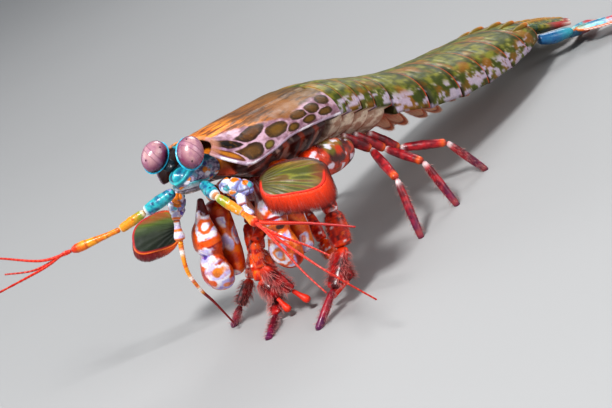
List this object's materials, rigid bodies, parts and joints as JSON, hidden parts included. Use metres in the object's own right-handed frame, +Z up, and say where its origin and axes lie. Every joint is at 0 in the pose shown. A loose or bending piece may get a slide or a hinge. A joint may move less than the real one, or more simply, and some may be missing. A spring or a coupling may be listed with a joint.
{
  "type": "peacock mantis shrimp model",
  "caption": "Life-size still model of a mantis shrimp standing on its legs, with folded club claws hanging under the head, domed eyes, spread feelers and a keeled tail fan.",
  "frame": {"origin": "floor level, under the middle of the model's box", "axes": "+Z up, -Y the way the animal faces, +X its left side"},
  "size_m": [0.0842, 0.1582, 0.0431],
  "materials": {
    "shell_olive": "semi-gloss olive shell",
    "shell_brown": "glossy brown shell with pale network and dark spots at the sides",
    "head_blue": "glossy blue-green shell",
    "cornea_pink": "smooth glossy mauve-pink eye",
    "feeler_orange": "semi-gloss orange",
    "feeler_red": "semi-gloss red, finely ringed",
    "claw_mottled": "glossy white, orange and lavender mottling",
    "claw_red": "glossy dark red",
    "leg_maroon": "semi-gloss dark purple-red",
    "leg_red": "semi-gloss red-orange",
    "tail_blue": "semi-gloss blue with red fringe"
  },
  "bodies": {
    "root": {"carapace": "shell_brown", "rostral_plate": "shell_olive", "cephalothorax": "shell_olive", "head_front": "head_blue", "eyestalk_left": "head_blue", "eyestalk_right": "head_blue", "cornea_left": "cornea_pink", "cornea_right": "cornea_pink", "antennule_left": "feeler_orange", "antennule_right": "feeler_orange", "antennule_flagella_left": "feeler_red", "antennule_flagella_right": "feeler_red", "antenna_left": "feeler_orange", "antenna_right": "feeler_orange", "antennal_scale_left": "shell_olive", "antennal_scale_right": "shell_olive", "mouthparts": "claw_mottled", "claw_merus_left": "shell_olive", "claw_merus_right": "shell_olive", "claw_carpus_left": "claw_mottled", "claw_carpus_right": "claw_mottled", "claw_propodus_left": "claw_red", "claw_propodus_right": "claw_red", "claw_dactyl_left": "claw_mottled", "claw_dactyl_right": "claw_mottled", "maxilliped_1_left": "leg_red", "maxilliped_1_right": "leg_red", "maxilliped_3_left": "leg_red", "maxilliped_3_right": "leg_red", "maxilliped_4_left": "leg_red", "maxilliped_4_right": "leg_red", "maxilliped_5_left": "leg_red", "maxilliped_5_right": "leg_red", "walking_leg_1_left": "leg_maroon", "walking_leg_1_right": "leg_maroon", "walking_leg_2_left": "leg_maroon", "walking_leg_2_right": "leg_maroon", "walking_leg_3_left": "leg_maroon", "walking_leg_3_right": "leg_maroon", "thorax_5": "shell_olive", "thorax_6": "shell_olive", "thorax_7": "shell_olive", "thorax_8": "shell_olive", "abdomen_1": "shell_olive", "abdomen_2": "shell_olive", "abdomen_3": "shell_olive", "abdomen_4": "shell_olive", "abdomen_5": "shell_olive", "abdomen_6": "shell_olive", "pleopods_1": "leg_red", "pleopods_2": "leg_red", "pleopods_3": "leg_red", "pleopods_4": "leg_red", "pleopods_5": "leg_red", "telson": "shell_olive", "uropod_stalk_left": "tail_blue", "uropod_stalk_right": "tail_blue", "uropod_exopod_left": "tail_blue", "uropod_exopod_right": "tail_blue"}
  },
  "joints": []
}
